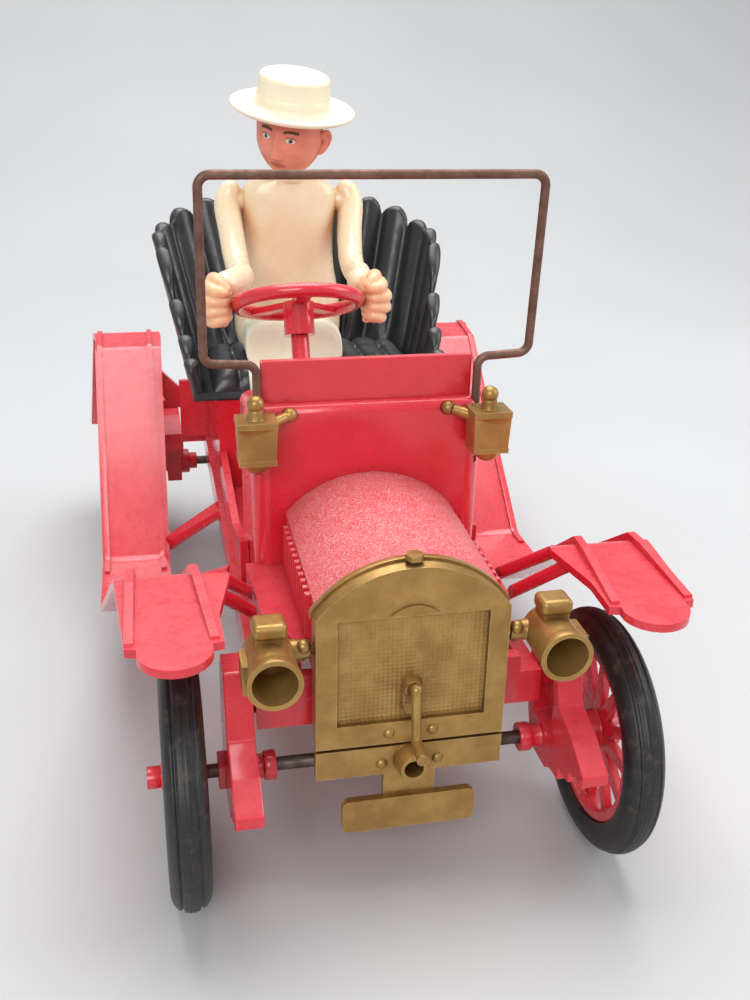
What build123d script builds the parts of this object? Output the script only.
"""Friction toy car: an open two-seat tourer with a driver, a flywheel motor and spoked wheels.

Millimetres. The front of the car faces -Y, +Z is up and +X is the car's own left side.
Everything is laid out from the front axle: y is 0 at the front axle and grows towards the back,
z is 0 on the ground. On writing, each piece is moved by Y_SHIFT so that the origin lies on the
ground under the middle of the whole car.
"""
from build123d import *
import os
from math import atan, cos, pi, radians, sin, sqrt, tan

# ---- driving dimensions -------------------------------------------------------------------------
Y_SHIFT = -98.0            # from the front axle to the middle of the car
RUN_GAP = 0.05             # radial clearance of every turning fit

# wheels and axles
WHEEL_R = 28.0             # tyre outside radius
TYRE_R = 4.3               # radius of the tyre's round section
RIM_R = 20.8               # seat of the tyre on the wheel
AXLE_R = 1.5
WHEELBASE = 187.0
FRONT_TRACK = 47.2         # centre plane of each front wheel from the middle
REAR_TRACK = 55.6
SPOKES = 12
HUB_END = 4.8              # outer end of the hub from the wheel's centre plane
AXLE_END = 6.4             # end of the axle from the wheel's centre plane

# radiator
RADIATOR_Y = -9.3          # front plane of the radiator
RADIATOR_HALF = 20.2
RADIATOR_DEPTH = 5.0
ARCH_Z = 67.6              # where the radiator's straight sides end
ARCH_TOP = 77.8
SHELL_Z = 36.9             # foot of the radiator shell
APRON_Z = (29.3, 36.2)
GRILLE_HALF = 15.8
GRILLE_Z = (42.2, 67.0)
CRANK_Z = 50.5
LAMP_Z = 59.8              # headlamp centre

# body
COWL_Y = 38.0              # front face of the cowl
COWL_TOP = 96.5
DASH_Y = 41.0
DASH_TOP = 106.3
SHELF_Z = 57.0             # shelf beside the hood
HOOD_FOOT = SHELF_Z - 5
LOUVRES = 12
SILL_HALF = 30.0
FLOOR_Z = 46.0             # top of the chassis floor
SEAT_Y = 110.0             # front of the seat
SEAT_Z = 75.5              # underside of the seat
SEAT_TOP = 125.0
LAMP_BALL = (18.6, COWL_Y - 0.3, 94.6)

# windscreen wire
WIRE_R = 1.0
LEG_X = 25.7
LEG_Y = DASH_Y - 1.2

# fender strips: top line in y and z
FENDER_T = 1.8             # thickness of the strip
FRONT_TIP_Y = -24.2
FENDER_REAR_Y = 11.0
BOARD_Y = (84.0, 112.0)
BOARD_Z = 25.0             # top of the running board
REAR_TOP = (181.0, 78.8)
TAIL = (224.0, 33.0)
GUSSET_Y = 168.0

# steering wheel and driver
WHEEL_C = (-10.6, 80.0, 110.5)
WHEEL_TILT = 24.0          # steering column from vertical
RIM_CENTRE_R = 15.5
STEER_RIM_R = 1.8
COLLAR_END = -8.5          # lower end of the wheel's collar along the column
FIST_X = 19.4
SLOT_HALF = 2.3            # half width of the space for the rim inside a fist
DRIVER_X = -7.0
SHOULDER = (122.0, 131.0)  # y, z of the shoulder pivots
NECK_Y = 118.0
NECK_R = 2.6
HEAD_TILT = (13.0, 4.0)    # nod forwards and lean to the left side, in degrees
HEAD_C = (DRIVER_X - 0.3, 115.5, 148.4)

# friction motor
MOTOR_HALF = 9.0           # inner face of each motor plate
GEAR_MODULE = 0.6
BIG_TEETH = 40
SMALL_TEETH = 10
GEAR_STEP = GEAR_MODULE * (BIG_TEETH + SMALL_TEETH) / 2
REAR_AXLE = (WHEELBASE, WHEEL_R)
IDLER = (WHEELBASE - GEAR_STEP, WHEEL_R)
FLYWHEEL = (WHEELBASE - 2 * GEAR_STEP, WHEEL_R)
PLATE_Y = (FLYWHEEL[0] - 8, REAR_AXLE[0] + 8)
MOTOR_FEET_Y = (PLATE_Y[0] + 4, PLATE_Y[1] - 4)
MOTOR_SCREW_X = MOTOR_HALF + 4
SPACERS = ((FLYWHEEL[0] - 6, 40.5), (REAR_AXLE[0] + 5.5, 41.2), (IDLER[0], 42.2))


# ---- helpers ------------------------------------------------------------------------------------
def block(x0, x1, y0, y1, z0, z1):
    """A box between two corners."""
    return Pos((x0 + x1) / 2, (y0 + y1) / 2, (z0 + z1) / 2) * Box(x1 - x0, y1 - y0, z1 - z0)


def rod(start, end, r0, r1=None):
    """A round bar between two points, tapered if a second radius is given."""
    along = Vector(*end) - Vector(*start)
    place = Plane(origin=start, z_dir=along).location * Pos(0, 0, along.length / 2)
    if r1 is None:
        return place * Cylinder(r0, along.length)
    return place * Cone(r0, r1, along.length)


def ball(centre, radius):
    return Pos(*centre) * Sphere(radius)


def slab_x(outline, x0, x1):
    """An outline of (y, z) points, carried from x0 to x1."""
    face = Plane.YZ * make_face(Polyline(*outline, close=True))
    return Pos(x0, 0, 0) * extrude(face, x1 - x0, dir=(1, 0, 0))


def slab_y(outline, y0, y1):
    """An outline of (x, z) points, carried from y0 to y1."""
    face = Plane.XZ * make_face(Polyline(*outline, close=True))
    return Pos(0, y0, 0) * extrude(face, y1 - y0, dir=(0, 1, 0))


def slab_z(outline, z0, z1):
    """An outline of (x, y) points, carried from z0 to z1."""
    face = make_face(Polyline(*outline, close=True))
    return Pos(0, 0, z0) * extrude(face, z1 - z0, dir=(0, 0, 1))


def mirrored(shape):
    return mirror(shape, about=Plane.YZ)


def both(shape):
    """The shape and its mirror image, joined."""
    return shape + mirrored(shape)


def ribbon(path, radius, thickness, x0, x1):
    """A strip whose top follows a path of (y, z) points with rounded bends."""
    top = FilletPolyline(*path, radius=radius)
    under = offset(top, amount=thickness, side=Side.RIGHT, closed=True)
    return Pos(x0, 0, 0) * extrude(Plane.YZ * make_face(under), x1 - x0, dir=(1, 0, 0))


def arch(half, foot, spring, top, y0, y1):
    """A round-topped plate: straight sides from foot to spring, then one arc over the top."""
    sides = Polyline((half, spring), (half, foot), (-half, foot), (-half, spring))
    over = ThreePointArc((-half, spring), (0, top), (half, spring))
    return Pos(0, y0, 0) * extrude(Plane.XZ * make_face(sides + over), y1 - y0, dir=(0, 1, 0))


def save(node, *pieces):
    """Write one node: its pieces, moved to the car's origin."""
    moved = [Pos(0, Y_SHIFT, 0) * solid for piece in pieces for solid in piece.solids()]
    shape = moved[0] if len(moved) == 1 else Compound(children=moved)
    export_step(shape, f"parts/{node}.step")


# ---- chassis ------------------------------------------------------------------------------------
def chassis_frame():
    """Side rails, floor, cross members, braces to the running boards and arms to the rear springs."""
    frame = both(block(28, 31.5, -1, 208, 38, FLOOR_Z))
    frame += block(-28, 28, 39, 208, FLOOR_Z - 2, FLOOR_Z)
    frame += block(-28, 28, -1, 2, 38, FLOOR_Z)
    frame += block(-26.5, 26.5, -1, 2, FLOOR_Z, 50)
    frame += block(-28, 28, 205, 208, 38, FLOOR_Z)
    brace_rear = rod((30, 107, 43), (47.3, 119, 26), 2.4)
    brace_front = rod((30.5, 62, 43.5), (47, 92, 24), 2.4) + rod((30.5, 66, 41), (47, 92, 23), 2.0)
    frame += both((brace_rear + brace_front) - fender_strip())
    for y in (166, 205):
        frame += both(block(31, 45.5, y, y + 3, 43, FLOOR_Z))
    for side in (1, -1):
        for y in MOTOR_FEET_Y:
            frame -= Pos(side * MOTOR_SCREW_X, y, FLOOR_Z) * Cylinder(1.1, 10)
    return frame


def dumb_iron():
    """Left front spring horn: a strip that runs down and forward, with a web and the axle boss."""
    top = [(3, 55), (-4.8, 55), (-9.7, 41.6), (-18, 38.8), (-25, 34.6)]
    steps = [(-25, 32), (-18, 30.8), (-18, 28.2), (-12.5, 27.6), (-12.5, 24.8), (-7, 24), (-5, 22.5)]
    back = [(5, 22.5), (7.5, 30), (9, 38), (8, 50)]
    horn = slab_x(top + steps + back, 32.6, 38.4)
    horn -= slab_x([(-2.4, 53), (-6.6, 41.5), (-6, 32), (4, 32), (6, 48), (2, 53)], 32.6, 36.4)
    horn += rod((32.8, 0, WHEEL_R), (29.5, 0, WHEEL_R), 2.7)
    horn += rod((30.2, 0, WHEEL_R), (27.5, 0, WHEEL_R), 3.3)
    horn += block(31.5, 36.5, 2, 6, 40, 50)
    horn += block(38.4, 40, -3, 3, 25, 31)
    horn -= rod((20, 0, WHEEL_R), (45, 0, WHEEL_R), AXLE_R + RUN_GAP)
    return horn


def rear_spring():
    """Left rear spring: stacked leaves over an axle boss."""
    axle_y = WHEELBASE
    spring = block(39, 45.5, axle_y - 21, axle_y + 21, 40, 43)
    spring += block(39, 45.5, axle_y - 16, axle_y + 16, 37, 40)
    spring += block(39, 45.5, axle_y - 11, axle_y + 11, 33.5, 37)
    spring += block(39.6, 44.8, axle_y - 6, axle_y + 6, 22.5, 33.5)
    spring += rod((39.6, axle_y, WHEEL_R), (36.6, axle_y, WHEEL_R), 4.4)
    spring += rod((36.8, axle_y, WHEEL_R), (33.8, axle_y, WHEEL_R), 3.0)
    spring += rod((44.8, axle_y, WHEEL_R), (48.4, axle_y, WHEEL_R), 3.4)
    return spring - rod((30, axle_y, WHEEL_R), (50, axle_y, WHEEL_R), AXLE_R + RUN_GAP)


# ---- fenders ------------------------------------------------------------------------------------
def strip_path():
    """Top line of the whole fender strip, from the front lobe to the tail."""
    return [
        (-30, 68.6), (FENDER_REAR_Y, 70.2), (BOARD_Y[0], BOARD_Z), (BOARD_Y[1], BOARD_Z),
        (REAR_TOP[0] - 9, REAR_TOP[1] - 3), (REAR_TOP[0] + 6, REAR_TOP[1] - 1), TAIL,
    ]


def strip_plan():
    """Left fender strip seen from above: lobe, square shoulders, running board and flared tail."""
    lobe = ThreePointArc((40.6, -18.6), (47.6, FRONT_TIP_Y), (54.6, -18.6))
    rest = Polyline(
        (54.6, -18.6), (54.6, -16.4), (56.8, -16), (59, FENDER_REAR_Y), (66.5, BOARD_Y[0]), (66.5, REAR_TOP[0]),
        (73, TAIL[0] + 2), (48, TAIL[0] + 2), (44.4, REAR_TOP[0]), (46.4, BOARD_Y[1]), (46.4, BOARD_Y[0]),
        (35.4, 9), (38.6, -6), (38.4, -16), (40.6, -16.4), (40.6, -18.6),
    )
    return make_face(lobe + rest)


def raised_rib(x, y0, y1, height):
    """A bead along the strip between two stations, as wide as it is high."""
    bead = ribbon(strip_path(), 4.0, FENDER_T, x - height, x + height)
    bead = Pos(0, 0, height) * bead + bead
    return bead & block(0, 90, y0, y1, 0, 120)


def fender_strip():
    """Left strip: front fender, running board and rear fender in one moulding, with its beads."""
    strip = ribbon(strip_path(), 4.0, FENDER_T, 30, 80)
    strip &= extrude(strip_plan(), 120, dir=(0, 0, 1))
    for x in (48.4, 65.0):
        strip += raised_rib(x, BOARD_Y[1] - 8, REAR_TOP[0] + 14, 0.8)
    peak = FENDER_REAR_Y
    bead = [(-15.8, 68), (-15, 69.8), (peak - 5, 71.7), (peak + 1.4, 71.5), (peak + 18, 60.5), (peak + 14, 60)]
    profile = slab_x(bead + [(peak - 2, 68.4)], 30, 62)
    for front, back in ((39.9, 44.4), (56.0, 55.4)):
        line = [(front - 0.9, -17), (front + 0.9, -17), (back + 0.9, peak + 19), (back - 0.9, peak + 19)]
        strip += profile & slab_z(line, 55, 75)
    for foot, head in (((27, 30.5, 52.4), (37.4, 12.5, 68)), ((27, 19.5, 53), (38.4, 5.5, 68))):
        strut = rod(foot, head, 1.5)
        strip += strut - block(20, 29.4, 0, 40, 40, 60) - block(20, 45, 0, 40, 69.2, 80)
    gusset = [(50.4, 70.8), (43.2, 55.5), (35, 55.5), (35, 58), (48.4, 71.6)]
    strip += slab_y(gusset, GUSSET_Y, GUSSET_Y + 2)
    return strip


# ---- body ---------------------------------------------------------------------------------------
def cowl():
    """The scuttle: a box widening towards the back, with rounded front corners and top edge."""
    plan = [(-27, COWL_Y), (27, COWL_Y), (28.5, 52), (-28.5, 52)]
    solid = slab_z(plan, FLOOR_Z, COWL_TOP)
    front_edges = solid.edges().filter_by(Axis.Z).sort_by(Axis.Y)[:2]
    solid = fillet(front_edges, 4.0)
    top_front = solid.faces().sort_by(Axis.Z)[-1].edges().filter_by(lambda e: e.center().Y < 51.5)
    solid = fillet(top_front, 2.6)
    solid -= slab_z([(-25.2, COWL_Y + 2), (25.2, COWL_Y + 2), (26.7, 53), (-26.7, 53)], FLOOR_Z + 2, COWL_TOP - 2)
    solid -= block(-23, 23, DASH_Y + 2, 53, FLOOR_Z + 2, COWL_TOP + 1)
    return solid - dash_panel()


def body_tub():
    """Cowl, shelf beside the hood, sills, seat base and rear deck."""
    tub = cowl()
    shelf = [(20.4, -1), (21.4, 0), (28.4, 15), (29.3, 40), (20.4, 40)]
    tub += both(slab_z(shelf, SHELF_Z - 2, SHELF_Z))
    skirt = [(21.4, 2.2), (22.8, 2.2), (28.4, 15), (29.3, 40), (27.7, 40), (26.8, 15.4)]
    tub += both(slab_z(skirt, FLOOR_Z, SHELF_Z))
    sill = [(46, FLOOR_Z), (46, 60), (70, 54), (SEAT_Y + 1, 60), (SEAT_Y + 1, FLOOR_Z)]
    tub += both(slab_x(sill, 28, SILL_HALF))
    tub += block(-28, 28, 48, SEAT_Y + 1, FLOOR_Z, FLOOR_Z + 2)
    base = [(SEAT_Y, FLOOR_Z), (SEAT_Y, SEAT_Z), (166, SEAT_Z), (176, 62), (206, 60), (206, FLOOR_Z)]
    tub += slab_x(base, -SILL_HALF, SILL_HALF)
    tub -= slab_x([(SEAT_Y + 2, FLOOR_Z - 1), (SEAT_Y + 2, SEAT_Z - 2), (165, SEAT_Z - 2), (175, 60),
                   (204, 58), (204, FLOOR_Z - 1)], -SILL_HALF + 2, SILL_HALF - 2)
    tub += both(block(SILL_HALF - 1, 39.5, 163, 165, FLOOR_Z, 66))
    for side in (1, -1):
        tub -= rod((side * LEG_X, LEG_Y, 80), (side * LEG_X, LEG_Y, 110), WIRE_R + RUN_GAP)
        tub -= ball((side * LAMP_BALL[0], *LAMP_BALL[1:]), 1.9)
        tub -= rod((side * LAMP_BALL[0], *LAMP_BALL[1:]), (side * 23, 35, 95), 1.4)
    tub -= rod(column_point(-64), column_point(-40), 2.0 + RUN_GAP)
    return tub


def hood():
    """Engine cover: arched shell with louvre fins down both sides."""
    y0 = RADIATOR_Y + RADIATOR_DEPTH
    shell = arch(19.8, HOOD_FOOT, 68.8, ARCH_TOP - 0.6, y0, COWL_Y)
    crown = arch(19.8, HOOD_FOOT, 68.8, ARCH_TOP - 0.6, y0, y0 + 0.5).faces().sort_by(Axis.Y)[0]
    rear = arch(19.8, HOOD_FOOT, 70.6, ARCH_TOP + 1.9, COWL_Y - 0.5, COWL_Y).faces().sort_by(Axis.Y)[-1]
    shell += loft([crown, rear])
    shell -= arch(18.2, HOOD_FOOT - 10, 68, ARCH_TOP - 2.2, y0 - 1, COWL_Y + 1)
    for i in range(LOUVRES):
        y = y0 + 4.5 + 3.0 * i
        shell += both(block(19.6, 20.9, y, y + 1.3, 58.5, 68.8))
    return shell


def dash_panel():
    """The upright panel on the cowl."""
    return block(-24.6, 24.6, DASH_Y, DASH_Y + 2, COWL_TOP - 8, DASH_TOP)


# ---- radiator group -----------------------------------------------------------------------------
def radiator_shell():
    """Arched surround with a window for the grille and a small raised arc above it."""
    y1 = RADIATOR_Y + RADIATOR_DEPTH
    shell = arch(RADIATOR_HALF, SHELL_Z, ARCH_Z, ARCH_TOP, RADIATOR_Y, y1)
    shell -= block(-GRILLE_HALF, GRILLE_HALF, RADIATOR_Y - 1, y1 + 1, *GRILLE_Z)
    lip = arch(RADIATOR_HALF + 0.7, ARCH_Z - 1, ARCH_Z, ARCH_TOP + 0.7, y1 - 1.6, y1)
    shell += lip - arch(RADIATOR_HALF - 2, ARCH_Z - 3, ARCH_Z - 1, ARCH_TOP - 2, y1 - 2, y1 + 1)
    shell -= Pos(0, RADIATOR_Y + 2.5, ARCH_TOP) * Cylinder(1.25, 5)
    badge = Plane.XZ * make_face(ThreePointArc((-5, 67.4), (0, 69.6), (5, 67.4)) + Line((5, 67.4), (-5, 67.4)))
    shell += Pos(0, RADIATOR_Y, 0) * extrude(badge, 0.5, dir=(0, -1, 0))
    for x in (4.7, -4.7):
        shell -= rod((x, RADIATOR_Y - 1, 39.5), (x, RADIATOR_Y + 3, 39.5), 0.6)
    for side in (1, -1):
        shell -= rod((side * 17, -6.4, 60), (side * 25, -6.4, 60), 1.2)
    return shell


def radiator_grille():
    """Recessed core with a drop-shaped bearing for the crank."""
    front = RADIATOR_Y + 1.0
    core = block(-GRILLE_HALF, GRILLE_HALF, front, front + 2, *GRILLE_Z)
    drop = rod((0, front + 1, CRANK_Z), (0, front - 2.4, CRANK_Z), 2.6, 1.9)
    drop += rod((0, front + 1, 45.5), (0, front - 1.2, 45.5), 2.4, 1.6)
    drop += block(-2, 2, front - 1.0, front + 1, 45.5, CRANK_Z)
    return core + drop - rod((0, front - 5, CRANK_Z), (0, front + 5, CRANK_Z), 1.0 + RUN_GAP)


def front_apron():
    """Plate under the radiator with a blank number plate on a neck and a starter tube."""
    y = RADIATOR_Y
    apron = block(-RADIATOR_HALF, RADIATOR_HALF, y, y + 2.4, *APRON_Z)
    back = y + RADIATOR_DEPTH + 0.1
    apron += block(-18, 18, y + 1, back + 1.4, APRON_Z[1] - 2, APRON_Z[1])
    apron += block(-18, 18, back, back + 1.4, APRON_Z[1] - 2, 42)
    apron += block(-5.6, 5.6, y, y + 1.8, 23, 31)
    plate = Pos(0, y - 0.3, 19.7) * Rot(90, 0, 0) * extrude(RectangleRounded(29.2, 8, 1.6), 0.9, both=True)
    apron += plate
    tube = rod((0, y + 3, 32.6), (0, y - 3.2, 32.6), 4.3, 3.1)
    tube += rod((0, y - 3.2, 32.6), (0, y - 4.0, 32.6), 3.1, 2.8)
    apron += tube
    apron -= rod((0, y - 6, 32.6), (0, y + 2.4, 32.6), 2.1)
    for x in (6.1, -6.1):
        apron -= rod((x, y - 1, 32), (x, y + 1.5, 32), 0.6)
    return apron


def radiator_rivets():
    """Four round-headed pins on the shell's foot and on the apron."""
    pins = []
    for x, z in ((4.7, 39.5), (-4.7, 39.5), (6.1, 32.0), (-6.1, 32.0)):
        shank = rod((x, RADIATOR_Y + 1.4, z), (x, RADIATOR_Y, z), 0.6)
        head = ball((x, RADIATOR_Y + 0.5, z), 1.35) & block(x - 2, x + 2, RADIATOR_Y - 2, RADIATOR_Y, z - 2, z + 2)
        pins.append(shank + head)
    return pins


def radiator_cap():
    """Six-sided filler cap on a short stem."""
    y = RADIATOR_Y + 2.5
    cap = Pos(0, y, ARCH_TOP + 0.75) * extrude(RegularPolygon(1.95, 6), 1.2)
    return cap + Pos(0, y, ARCH_TOP - 0.3) * Cylinder(1.2, 3.0)


def crank_handle():
    """Starting crank: shaft, arm hanging down and a handle forward."""
    y = RADIATOR_Y - 2.5
    crank = rod((0, RADIATOR_Y + 2, CRANK_Z), (0, y - 1.0, CRANK_Z), 1.0)
    crank += rod((0, y - 0.6, 52.0), (0, y - 2.2, 39.8), 1.15, 0.95)
    crank += ball((0, y - 0.6, 51.6), 1.3)
    crank += rod((0, y - 1.2, 40.2), (0, y - 8.0, 39.6), 1.1, 1.3)
    return crank


def headlamp():
    """Left headlamp: open barrel with a rolled rim, capped vent, outer pad and bracket lug."""
    x, z = 29.4, LAMP_Z
    lamp = rod((x, -17.2, z), (x, -5.0, z), 5.2, 5.0)
    lamp += rod((x, -18.6, z), (x, -17.0, z), 5.5)
    lamp += rod((x, -5.1, z), (x, -3.6, z), 5.0, 3.4)
    lamp += block(x - 2.8, x + 2.8, -11.2, -6.2, z + 3, z + 7.4)
    cap = block(x - 3.4, x + 3.4, -11.9, -5.7, z + 5.6, z + 9.0)
    lamp += fillet(cap.edges(), 1.2)
    lamp += block(x + 3.6, x + 5.9, -14.5, -7.5, z - 4.2, z + 2.2)
    lamp += rod((x - 4.2, -6.4, 60), (RADIATOR_HALF + 0.9, -6.4, 60), 2.3, 1.9)
    lamp += ball((RADIATOR_HALF + 2.2, -7.4, 61.2), 1.5) + ball((RADIATOR_HALF + 2.6, -5.4, 58.4), 1.6)
    lamp += rod((RADIATOR_HALF + 1.0, -6.4, 60), (RADIATOR_HALF - 2.8, -6.4, 60), 1.15)
    return lamp - rod((x, -19, z), (x, -7, z), 4.5)


def cowl_lamp():
    """Left cowl lamp: square lantern, flared roof, beaded finial, foot knob and ball-ended arm."""
    x, y = 26.8, 32.6
    body = [Pos(x, y, 86.2) * Rectangle(8.0, 6.8), Pos(x, y, 94.8) * Rectangle(8.8, 7.4)]
    lamp = loft(body) + block(x - 4.5, x + 4.5, y - 3.8, y + 3.8, 94.4, 95.8)
    lamp += block(x - 4.2, x + 4.2, y - 3.55, y + 3.5, 85.8, 87.0)
    lamp += rod((x, y, 95.6), (x, y, 97.2), 2.1, 1.7) + ball((x, y, 97.2), 1.75)
    lamp += ball((x, y, 99.1), 1.95)
    lamp += ball((x, y, 86.2), 3.2) & block(x - 5, x + 5, y - 5, y + 5, 82, 86.5)
    lamp += rod((x - 3, y + 2, 93.4), LAMP_BALL, 1.5, 1.1)
    return lamp + ball(LAMP_BALL, 1.7)


# ---- windscreen and steering --------------------------------------------------------------------
def windscreen_frame():
    """One bent wire: legs in the cowl, a step outwards and a tall rectangle."""
    left = [(LEG_X, LEG_Y, 84), (LEG_X, LEG_Y, 106.0), (37.4, LEG_Y - 1.0, 106.9), (37.2, 35.1, 147.2)]
    right = [(-x, y, z) for x, y, z in reversed(left)]
    path = FilletPolyline(*left, *right, radius=2.6)
    start = Plane(origin=left[0], z_dir=(0, 0, 1))
    return sweep(start * Circle(WIRE_R), path=path)


def column_point(distance):
    """A point on the steering axis, measured up from the wheel's centre."""
    tilt = radians(WHEEL_TILT)
    x, y, z = WHEEL_C
    return (x, y + distance * sin(tilt), z + distance * cos(tilt))


def wheel_frame():
    """Frame at the steering wheel: local z along the column, local -y towards the front."""
    return Location(WHEEL_C, (-WHEEL_TILT, 0, 0))


def steering_column():
    """Fixed post with a thinner spigot that carries the wheel."""
    post = rod(column_point(-62.5), column_point(COLLAR_END - 0.1), 2.3)
    return post + rod(column_point(COLLAR_END - 1), column_point(-1.5), 1.2)


def steering_wheel():
    """Rim, three flat spokes and a long collar."""
    rim = Torus(RIM_CENTRE_R, STEER_RIM_R)
    wheel = rim + Pos(0, 0, -4.2) * Cylinder(3.9, 8.6)
    for angle in (0, 135, 225):
        spoke = Pos(0, -8.2, -0.4) * Box(3.6, 13.6, 1.6)
        wheel += Rot(0, 0, angle) * spoke
    wheel -= Pos(0, 0, -5.2) * Cylinder(1.2 + RUN_GAP, 8.2)
    return wheel_frame() * wheel


# ---- seat and driver ----------------------------------------------------------------------------
def seat_plan(half, back, corner):
    """Horseshoe outline of the seat at one height."""
    path = Polyline((half, SEAT_Y), (half, back), (-half, back), (-half, SEAT_Y), close=True)
    face = make_face(path)
    corners = face.vertices().group_by(Axis.Y)[-1]
    return fillet(corners, corner)


def seat_shell():
    """Tub: a floor and a wall that leans out, arched at the back and cut lower towards the arms."""
    low, high = SEAT_Z, SEAT_TOP + 1
    outer = loft([Pos(0, 0, low) * seat_plan(37, 163, 18), Pos(0, 0, high) * seat_plan(47.8, 178, 19)])
    inner = loft([Pos(0, 0, low + 2) * seat_plan(33, 159, 16), Pos(0, 0, high + 2) * seat_plan(44.4, 174, 16.5)])
    inner += block(-33, 33, SEAT_Y - 2, SEAT_Y + 20, low + 2, high + 2)
    crown = ThreePointArc((-34.6, 121.5), (0, SEAT_TOP), (34.6, 121.5))
    crown += Polyline((34.6, 121.5), (52, 108), (60, 60), (-60, 60), (-52, 108), (-34.6, 121.5))
    under_crown = Pos(0, 90, 0) * extrude(Plane.XZ * make_face(crown), 100, dir=(0, 1, 0))
    arm = [(105, 84), (114, 87), (126, 95), (134, 104), (139, 114), (152, 126), (152, 130), (105, 130)]
    return ((outer - inner) & under_crown) - slab_x(arm, -60, 60)


def seat_cushion():
    """Squab on the seat's floor."""
    pad = block(-31.5, 31.5, SEAT_Y + 0.5, 147, SEAT_Z + 2.1, SEAT_Z + 9.5)
    return fillet(pad.edges().filter_by(Axis.X), 2.0)


def driver_torso():
    """Coat: a lofted trunk that leans back slightly, with a neck socket."""
    x = DRIVER_X
    sections = [
        (128, 88.0, 28, 17), (127, 100, 27, 17), (124.5, 115, 28, 17), (122.5, 127, 29, 15),
        (121.5, 134.5, 27, 12), (120.5, 137.0, 19, 9),
    ]
    trunk = loft([Pos(x, y, z) * Ellipse(w / 2, d / 2) for y, z, w, d in sections])
    for side in (1, -1):
        trunk += rod((x + side * 8, *SHOULDER), (x + side * 14.2, *SHOULDER), 4.2)
        trunk -= rod((x + side * 9, *SHOULDER), (x + side * 16, *SHOULDER), 1.5 + RUN_GAP)
    return trunk - Pos(x, NECK_Y, 138) * Cylinder(NECK_R + RUN_GAP, 8)


def driver_legs():
    """Trousers: hips, thighs forward and shins down to the floor, moulded as one mass."""
    x = DRIVER_X
    seat_top = SEAT_Z + 9.7
    legs = block(x - 13.5, x + 13.5, 119, 136, seat_top, 87.8)
    for side in (1, -1):
        hip = (x + side * 7.2, 127, 90.6)
        knee = (x + side * 7.4, 102, 91.5)
        foot = (x + side * 6.4, 88, 52)
        legs += rod(hip, knee, 5.6) + ball(knee, 6.0) + rod(knee, foot, 5.8, 4.4)
        legs += block(foot[0] - 3.6, foot[0] + 3.6, 76, 92, FLOOR_Z + 2.2, 54)
    web = [(126, 95), (101, 96), (96.5, 90), (85.5, 56), (90, 56), (104, 86.5), (126, 86.5)]
    legs += slab_x(web, x - 4, x + 4)
    legs -= block(x - 30, x + 30, 114, 150, 87.9, 120)
    return legs - block(x - 30, x + 30, SEAT_Y - 0.3, 150, 60, seat_top)


def grip_channel(side, back):
    """Space for the rim inside a fist: open underneath so that the hand lifts off."""
    channel = block(RIM_CENTRE_R - SLOT_HALF, RIM_CENTRE_R + SLOT_HALF, -9, back, -14, STEER_RIM_R + 0.6)
    channel += block(RIM_CENTRE_R - SLOT_HALF - 1, RIM_CENTRE_R + SLOT_HALF, 0, back, -14, -1)
    return channel if side > 0 else mirrored(channel)


def fist(side):
    """Closed hand around the rim."""
    hand = Pos(side * FIST_X, 0.5, 0.6) * Box(9.6, 11.0, 12.0)
    return fillet(hand.edges(), 2.4)


def driver_arm(side):
    """Sleeve from the shoulder to the wrist with its fist and shoulder pin; side is +1 for +X."""
    shoulder = (DRIVER_X + side * 18.6, *SHOULDER)
    wrist = (WHEEL_C[0] + side * 17.2, 87.5, 117.0)
    elbow = (shoulder[0] - side * 0.2, 106.0, 121.5)
    arm = ball(shoulder, 4.4)
    arm += rod(shoulder, elbow, 4.3, 4.1) + ball(elbow, 4.1)
    arm += rod(elbow, wrist, 4.1, 3.5) + ball(wrist, 3.5)
    side_face = DRIVER_X + side * 14.5
    inner, outer = sorted((DRIVER_X, side_face))
    arm -= block(inner, outer, 110, 134.5, 120, 140)
    arm += rod((DRIVER_X + side * 9.6, *SHOULDER), (DRIVER_X + side * 16, *SHOULDER), 1.5)
    return arm + wheel_frame() * fist(side) - wheel_frame() * grip_channel(side, 12)


def head_frame():
    """Frame of the tilted head, at its centre."""
    return Location(HEAD_C, (HEAD_TILT[0], HEAD_TILT[1], 0))


def driver_head():
    """Head as an egg, cut flat under the hat, on a neck peg."""
    skull = scale(Sphere(10), (0.98, 1.02, 1.04)) - block(-20, 20, -20, 20, 6.4, 20)
    peg = rod((DRIVER_X, NECK_Y, 134.6), (DRIVER_X, NECK_Y, 144), NECK_R)
    return head_frame() * skull + peg


def driver_hat():
    """Flat straw hat: brim and low crown over the top of the head."""
    hat = Pos(0, 0.5, 7.4) * Cylinder(17.2, 1.8)
    crown = fillet((Pos(0, 0.5, 12.4) * Cylinder(9.9, 10.0)).edges().sort_by(Axis.Z)[-1], 1.4)
    return head_frame() * (hat + crown)


# ---- wheels -------------------------------------------------------------------------------------
def wheel(track, y, flip):
    """Spoked wheel on its axle; flip is +1 on the left side, where the outside is +X."""
    hub = Cylinder(4.4, 7.6) + Pos(0, 0, HUB_END - 1.0) * Cylinder(3.0, 2.0)
    rim = Cylinder(RIM_R, 5.6) - Cylinder(RIM_R - 2.2, 6)
    body = hub + rim
    blade = make_face(Polyline((3.5, -1.9), (3.5, 1.9), (RIM_R - 1.6, 1.1), (RIM_R - 1.6, -1.1), close=True))
    spoke = Pos(0, 0, -0.9) * extrude(blade, 1.8)
    for i in range(SPOKES):
        body += Rot(0, 0, 360 * i / SPOKES) * spoke
    body -= Cylinder(AXLE_R, 20)
    return Pos(flip * track, y, WHEEL_R) * Rot(0, flip * 90, 0) * body


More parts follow.
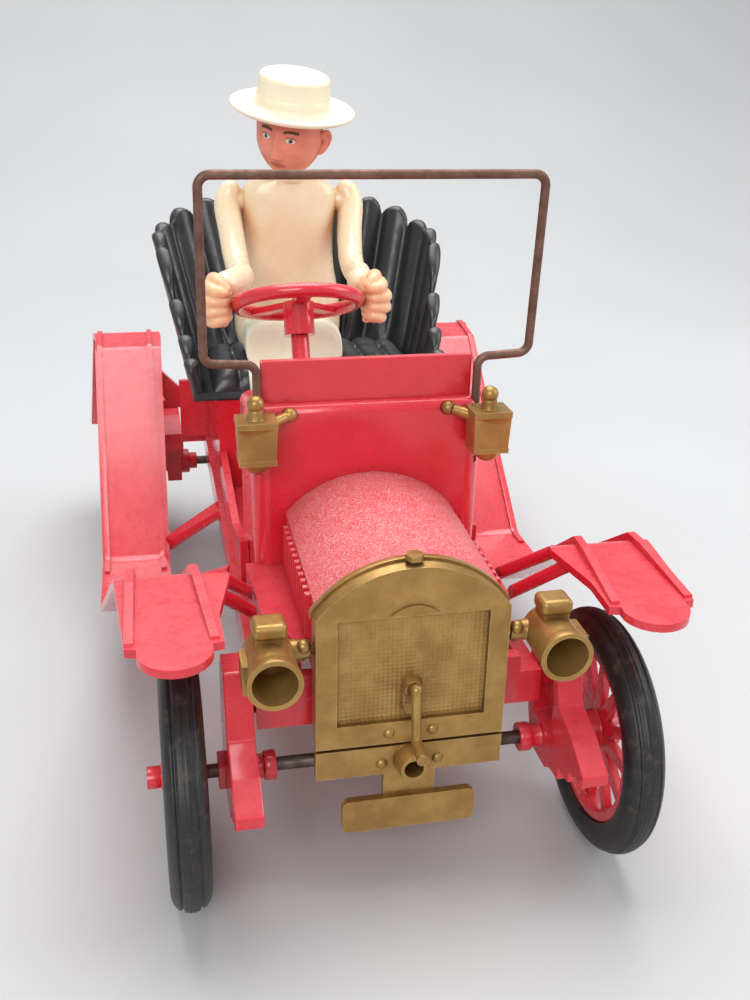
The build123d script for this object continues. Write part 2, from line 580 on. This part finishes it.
def tyre(track, y, flip):
    """Solid rubber ring with a fine tread line on each shoulder."""
    ring = Torus(WHEEL_R - TYRE_R, TYRE_R) - Cylinder(RIM_R, 20)
    for side in (1, -1):
        groove = Pos(0, 0, side * 1.9) * (Cylinder(WHEEL_R, 0.5) - Cylinder(WHEEL_R - 0.75, 0.6))
        ring -= groove
    return Pos(flip * track, y, WHEEL_R) * Rot(0, 90, 0) * ring


def hub_caps(track, y):
    """Two push-on caps over the axle's ends."""
    caps = []
    for side in (1, -1):
        cap = rod((side * (track + HUB_END), y, WHEEL_R), (side * (track + 7.7), y, WHEEL_R), 2.4)
        cap -= rod((side * track, y, WHEEL_R), (side * (track + AXLE_END), y, WHEEL_R), AXLE_R)
        caps.append(cap)
    return caps


def axle(track, y):
    return rod((-track - AXLE_END, y, WHEEL_R), (track + AXLE_END, y, WHEEL_R), AXLE_R)


# ---- friction motor -----------------------------------------------------------------------------
def gear(teeth, width, bore, tooth_at):
    """Involute spur gear about local z, thinned for backlash, with a tooth centred at tooth_at degrees."""
    pressure = radians(20)
    pitch = GEAR_MODULE * teeth / 2
    base = pitch * cos(pressure)
    tip = pitch + 0.92 * GEAR_MODULE
    root = pitch - 1.2 * GEAR_MODULE
    half_tooth = pi / (2 * teeth) - 0.045 / pitch
    roll_pitch = tan(pressure) - pressure

    def flank(radius):
        if radius <= base:
            return half_tooth + roll_pitch
        roll = sqrt((radius / base) ** 2 - 1)
        return half_tooth + roll_pitch - (roll - atan(roll))

    radii = [root, max(root + 0.02, base), (max(root, base) + pitch) / 2, pitch, (pitch + tip) / 2, tip]
    points = []
    for i in range(teeth):
        middle = 2 * pi * i / teeth + radians(tooth_at)
        rising = [(r, middle - flank(r)) for r in radii]
        falling = [(r, middle + flank(r)) for r in reversed(radii)]
        points += [(r * cos(a), r * sin(a)) for r, a in rising + falling]
    blank = extrude(make_face(Polyline(*points, close=True)), width / 2, both=True)
    return blank - Cylinder(bore, width + 2) if bore else blank


def on_shaft(shape, shaft, x):
    """Turn a piece from local z to the car's x axis: its 0 degrees then points to the back."""
    return Pos(x, *shaft) * Rot(0, 90, 0) * Rot(0, 0, 90) * shape


def axle_gear():
    """Large gear pressed on the rear axle."""
    return on_shaft(gear(BIG_TEETH, 3.0, AXLE_R, 0), REAR_AXLE, -5.0)


def idler_shaft():
    """Turning shaft of the idler, held in both motor plates."""
    return rod((-MOTOR_HALF - 1.6, *IDLER), (MOTOR_HALF + 1.6, *IDLER), 1.0)


def idler_gear():
    """Small and large gear in one piece on the idler shaft."""
    small = on_shaft(gear(SMALL_TEETH, 4.0, 0, 180 / SMALL_TEETH), IDLER, -5.0)
    large = on_shaft(gear(BIG_TEETH, 3.0, 0, 0), IDLER, 2.0)
    web = rod((-3.2, *IDLER), (0.6, *IDLER), 2.0)
    return small + large + web - rod((-9, *IDLER), (9, *IDLER), 1.0)


def flywheel_pinion():
    """Pinion cut on the flywheel's shaft."""
    pinion = on_shaft(gear(SMALL_TEETH, 4.0, 0, 180 / SMALL_TEETH), FLYWHEEL, 2.0)
    return pinion + rod((-MOTOR_HALF - 1.6, *FLYWHEEL), (MOTOR_HALF + 1.6, *FLYWHEEL), 1.0)


def flywheel():
    """Heavy disc with a thick rim, beside the pinion."""
    disc = rod((-8.2, *FLYWHEEL), (-3.8, *FLYWHEEL), 11.2)
    disc -= rod((-4.8, *FLYWHEEL), (-3.0, *FLYWHEEL), 8.6)
    disc += rod((-8.2, *FLYWHEEL), (-3.0, *FLYWHEEL), 3.0)
    return disc - rod((-9, *FLYWHEEL), (9, *FLYWHEEL), 1.0)


def motor_plate(side):
    """Side plate with the three bearings and a bent foot that screws to the floor."""
    y0, y1 = PLATE_Y
    outline = [(y0, 22), (y0, 44), (y1, 44), (y1, 22), (y1 - 4, 18), (y0 + 4, 18)]
    inner, outer = sorted((side * MOTOR_HALF, side * (MOTOR_HALF + 1.2)))
    plate = slab_x(outline, inner, outer)
    foot_in, foot_out = sorted((side * MOTOR_HALF, side * (MOTOR_HALF + 7)))
    for y in MOTOR_FEET_Y:
        foot = block(foot_in, foot_out, y - 4, y + 4, 42.8, 44)
        plate += foot - Pos(side * MOTOR_SCREW_X, y, 43) * Cylinder(1.1, 6)
    for shaft, radius in ((REAR_AXLE, AXLE_R), (IDLER, 1.0), (FLYWHEEL, 1.0)):
        plate -= rod((-20, *shaft), (20, *shaft), radius + RUN_GAP)
    for y, z in SPACERS:
        plate -= rod((-20, y, z), (20, y, z), 0.8)
    return plate


def motor_spacers():
    """Shouldered pillars that hold the two plates apart."""
    pillars = []
    for y, z in SPACERS:
        pillar = rod((-MOTOR_HALF, y, z), (MOTOR_HALF, y, z), 1.3)
        pillars.append(pillar + rod((-MOTOR_HALF - 1.2, y, z), (MOTOR_HALF + 1.2, y, z), 0.8))
    return pillars


def motor_screws():
    """Four screws that hold the motor's feet under the floor."""
    screws = []
    for side in (1, -1):
        for y in MOTOR_FEET_Y:
            x = side * MOTOR_SCREW_X
            shank = Pos(x, y, 43.8) * Cylinder(1.1, 4.4)
            screws.append(shank + Pos(x, y, 41.7) * Cylinder(2.0, 1.4))
    return screws


# ---- write everything ---------------------------------------------------------------------------
def main():
    os.makedirs("parts", exist_ok=True)
    save("chassis_frame", chassis_frame())
    for name, build in (("dumb_iron", dumb_iron), ("rear_spring", rear_spring), ("fender", fender_strip),
                        ("headlamp", headlamp), ("cowl_lamp", cowl_lamp)):
        piece = build()
        save(f"{name}_left", piece)
        save(f"{name}_right", mirrored(piece))
    save("body_tub", body_tub())
    save("hood", hood())
    save("dash_panel", dash_panel())
    save("radiator_shell", radiator_shell())
    save("radiator_grille", radiator_grille())
    save("front_apron", front_apron())
    save("radiator_rivets", *radiator_rivets())
    save("radiator_cap", radiator_cap())
    save("crank_handle", crank_handle())
    save("windscreen_frame", windscreen_frame())
    save("steering_column", steering_column())
    save("steering_wheel", steering_wheel())
    save("seat_shell", seat_shell())
    save("seat_cushion", seat_cushion())
    save("driver_torso", driver_torso())
    save("driver_legs", driver_legs())
    save("driver_arm_left", driver_arm(1))
    save("driver_arm_right", driver_arm(-1))
    save("driver_head", driver_head())
    save("driver_hat", driver_hat())
    for name, track, y in (("front", FRONT_TRACK, 0.0), ("rear", REAR_TRACK, WHEELBASE)):
        save(f"{name}_axle", axle(track, y))
        save(f"{name}_hub_caps", *hub_caps(track, y))
        for side, flip in (("left", 1), ("right", -1)):
            save(f"{name}_wheel_{side}", wheel(track, y, flip))
            save(f"{name}_tyre_{side}", tyre(track, y, flip))
    save("axle_gear", axle_gear())
    save("idler_shaft", idler_shaft())
    save("idler_gear", idler_gear())
    save("flywheel_pinion", flywheel_pinion())
    save("flywheel", flywheel())
    save("motor_plate_left", motor_plate(1))
    save("motor_plate_right", motor_plate(-1))
    save("motor_spacers", *motor_spacers())
    save("motor_screws", *motor_screws())


main()
